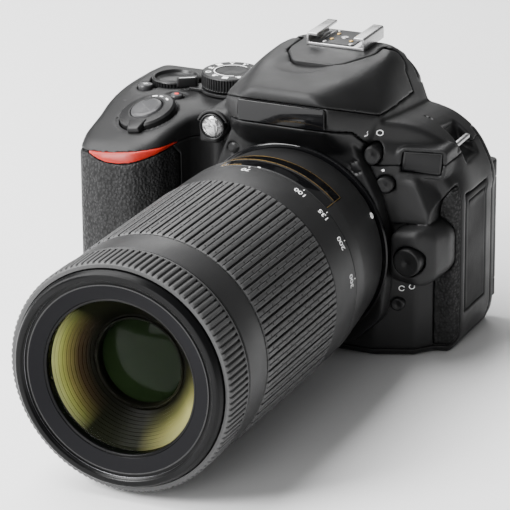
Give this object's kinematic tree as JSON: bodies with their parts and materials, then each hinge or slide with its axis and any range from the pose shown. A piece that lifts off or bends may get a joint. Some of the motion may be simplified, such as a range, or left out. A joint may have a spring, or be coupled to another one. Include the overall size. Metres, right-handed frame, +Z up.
{
  "type": "digital single-lens reflex camera",
  "caption": "Digital single-lens reflex camera with a telephoto zoom lens, pop-up flash, swing-out monitor, dials and hinged doors.",
  "frame": {"origin": "on the base plane, below the lens axis, in the plane of the image sensor", "axes": "+Z up, -Y along the lens axis away from the body, -X towards the hand grip"},
  "size_m": [0.1267, 0.1855, 0.097],
  "materials": {
    "shell": "fine grained near-black",
    "panel": "matt black",
    "leatherette": "pebbled black rubber",
    "accent": "glossy red",
    "control": "satin black",
    "barrel": "fine grained charcoal",
    "lens_rubber": "ribbed black rubber",
    "gloss": "gloss black",
    "steel": "satin steel",
    "glass": "coated optical glass",
    "mirror": "front-silvered mirror",
    "board": "green circuit board",
    "battery": "dark grey battery pack"
  },
  "bodies": {
    "camera_body": {"front_cover": "shell", "top_cover": "shell", "rear_cover": "shell", "base_cover": "shell", "grip_rubber": "leatherette", "side_rubber": "leatherette", "thumb_rubber": "leatherette", "grip_accent": "accent", "name_plate": "gloss", "badge_plate": "gloss", "mount_panel": "panel", "hot_shoe": "steel", "tripod_socket": "steel", "strap_lug_right": "steel", "strap_lug_left": "steel", "body_mount_ring": "steel", "mirror_box": "panel", "pentamirror": "glass", "shutter_unit": "panel", "image_sensor": "gloss", "main_board": "board", "battery": "battery", "af_lamp": "glass", "eyecup": "lens_rubber", "eyepiece_glass": "glass", "lens_bayonet": "steel", "rear_barrel": "barrel", "inner_lens_group": "glass"},
    "zoom": {"zoom_ring": "barrel", "zoom_rubber": "lens_rubber"},
    "front_group": {"front_barrel": "barrel", "front_lens": "glass"},
    "focus": {"focus_ring": "lens_rubber"},
    "mode_dial": {"mode_dial": "control"},
    "live_view_lever": {"live_view_lever": "control"},
    "command_dial": {"command_dial": "control"},
    "power_ring": {"power_ring": "control"},
    "shutter_button": {"shutter_button": "control"},
    "exposure_button": {"exposure_button": "control"},
    "movie_button": {"movie_button": "control"},
    "flash_button": {"flash_button": "control"},
    "fn_button": {"fn_button": "control"},
    "timer_button": {"timer_button": "control"},
    "lens_release_button": {"lens_release_button": "control"},
    "menu_button": {"menu_button": "control"},
    "playback_button": {"playback_button": "control"},
    "zoom_in_button": {"zoom_in_button": "control"},
    "zoom_out_button": {"zoom_out_button": "control"},
    "delete_button": {"delete_button": "control"},
    "multi_selector": {"multi_selector": "control"},
    "ok_button": {"ok_button": "control"},
    "reflex_mirror": {"reflex_mirror": "mirror"},
    "flash_head": {"flash_head": "shell", "flash_window": "glass"},
    "monitor": {"monitor_hinge": "shell", "monitor_case": "shell", "monitor_glass": "gloss"},
    "battery_door": {"battery_door": "shell"},
    "card_door": {"card_door": "shell"},
    "port_door": {"port_door": "leatherette"}
  },
  "joints": [
    {"name": "zoom_turn", "type": "hinge", "parent": "camera_body", "child": "zoom", "pos_m": [0, -0.11, 0.0377], "axis": [0, -1, 0], "range_deg": [0, 80]},
    {"name": "barrel_slide", "type": "slide", "parent": "camera_body", "child": "front_group", "axis": [0, -1, 0], "range_m": [0, 0.046]},
    {"name": "focus_turn", "type": "hinge", "parent": "front_group", "child": "focus", "pos_m": [0, -0.162, 0.0377], "axis": [0, -1, 0], "continuous": true},
    {"name": "mode_dial_turn", "type": "hinge", "parent": "camera_body", "child": "mode_dial", "pos_m": [-0.037, -0.0104, 0.078], "axis": [0, 0, 1], "continuous": true},
    {"name": "live_view_turn", "type": "hinge", "parent": "camera_body", "child": "live_view_lever", "pos_m": [-0.037, -0.0104, 0.0745], "axis": [0, 0, 1], "range_deg": [0, 10], "stiffness_Nm_per_rad": 0.05},
    {"name": "command_dial_turn", "type": "hinge", "parent": "camera_body", "child": "command_dial", "pos_m": [-0.0585, -0.0085, 0.075], "axis": [0, 0, 1], "continuous": true},
    {"name": "power_turn", "type": "hinge", "parent": "camera_body", "child": "power_ring", "pos_m": [-0.055, -0.0366, 0.0709], "axis": [-0.1708, -0.2813, 0.9443], "range_deg": [0, 25]},
    {"name": "shutter_press", "type": "slide", "parent": "camera_body", "child": "shutter_button", "axis": [0.1708, 0.2813, -0.9443], "range_m": [0, 0.0008], "stiffness_N_per_m": 400},
    {"name": "exposure_press", "type": "slide", "parent": "camera_body", "child": "exposure_button", "axis": [0, 0, -1], "range_m": [0, 0.0005], "stiffness_N_per_m": 400},
    {"name": "movie_press", "type": "slide", "parent": "camera_body", "child": "movie_button", "axis": [0, 0, -1], "range_m": [0, 0.0005], "stiffness_N_per_m": 400},
    {"name": "flash_button_press", "type": "slide", "parent": "camera_body", "child": "flash_button", "axis": [0, 1, 0], "range_m": [0, 0.0006], "stiffness_N_per_m": 400},
    {"name": "function_press", "type": "slide", "parent": "camera_body", "child": "fn_button", "axis": [0, 1, 0], "range_m": [0, 0.0006], "stiffness_N_per_m": 400},
    {"name": "timer_press", "type": "slide", "parent": "camera_body", "child": "timer_button", "axis": [0, 1, 0], "range_m": [0, 0.0006], "stiffness_N_per_m": 400},
    {"name": "lens_release_press", "type": "slide", "parent": "camera_body", "child": "lens_release_button", "axis": [0, 1, 0], "range_m": [0, 0.0012], "stiffness_N_per_m": 400},
    {"name": "menu_press", "type": "slide", "parent": "camera_body", "child": "menu_button", "axis": [0, -1, 0], "range_m": [0, 0.0005], "stiffness_N_per_m": 400},
    {"name": "playback_press", "type": "slide", "parent": "camera_body", "child": "playback_button", "axis": [0, -1, 0], "range_m": [0, 0.0005], "stiffness_N_per_m": 400},
    {"name": "zoom_in_press", "type": "slide", "parent": "camera_body", "child": "zoom_in_button", "axis": [0, -1, 0], "range_m": [0, 0.0005], "stiffness_N_per_m": 400},
    {"name": "zoom_out_press", "type": "slide", "parent": "camera_body", "child": "zoom_out_button", "axis": [0, -1, 0], "range_m": [0, 0.0005], "stiffness_N_per_m": 400},
    {"name": "delete_press", "type": "slide", "parent": "camera_body", "child": "delete_button", "axis": [0, -1, 0], "range_m": [0, 0.0005], "stiffness_N_per_m": 400},
    {"name": "selector_rock", "type": "hinge", "parent": "camera_body", "child": "multi_selector", "pos_m": [-0.053, 0.007, 0.034], "axis": [1, 0, 0], "range_deg": [-3, 3], "stiffness_Nm_per_rad": 0.5},
    {"name": "ok_press", "type": "slide", "parent": "camera_body", "child": "ok_button", "axis": [0, -1, 0], "range_m": [0, 0.0005], "stiffness_N_per_m": 400},
    {"name": "mirror_flip", "type": "hinge", "parent": "camera_body", "child": "reflex_mirror", "pos_m": [0, -0.0084, 0.0512], "axis": [-1, 0, 0], "range_deg": [0, 45]},
    {"name": "flash_raise", "type": "hinge", "parent": "camera_body", "child": "flash_head", "pos_m": [0, -0.0052, 0.0896], "axis": [-1, 0, 0], "range_deg": [0, 55]},
    {"name": "monitor_swing", "type": "hinge", "parent": "camera_body", "child": "monitor", "pos_m": [0.0468, 0.0078, 0.0318], "axis": [0, 0, -1], "range_deg": [0, 180]},
    {"name": "battery_door_swing", "type": "hinge", "parent": "camera_body", "child": "battery_door", "pos_m": [-0.04605, -0.03, 0.00015], "axis": [0, -1, 0], "range_deg": [0, 90]},
    {"name": "card_door_swing", "type": "hinge", "parent": "camera_body", "child": "card_door", "pos_m": [-0.074, -0.00365, 0.035], "axis": [0, 0, -1], "range_deg": [0, 95]},
    {"name": "port_door_swing", "type": "hinge", "parent": "camera_body", "child": "port_door", "pos_m": [0.05045, -0.0218, 0.033], "axis": [0, 0, -1], "range_deg": [0, 100]}
  ],
  "couplings": [
    {"joint": "barrel_slide", "follows": "zoom_turn", "m_per_rad": 0.032873}
  ]
}
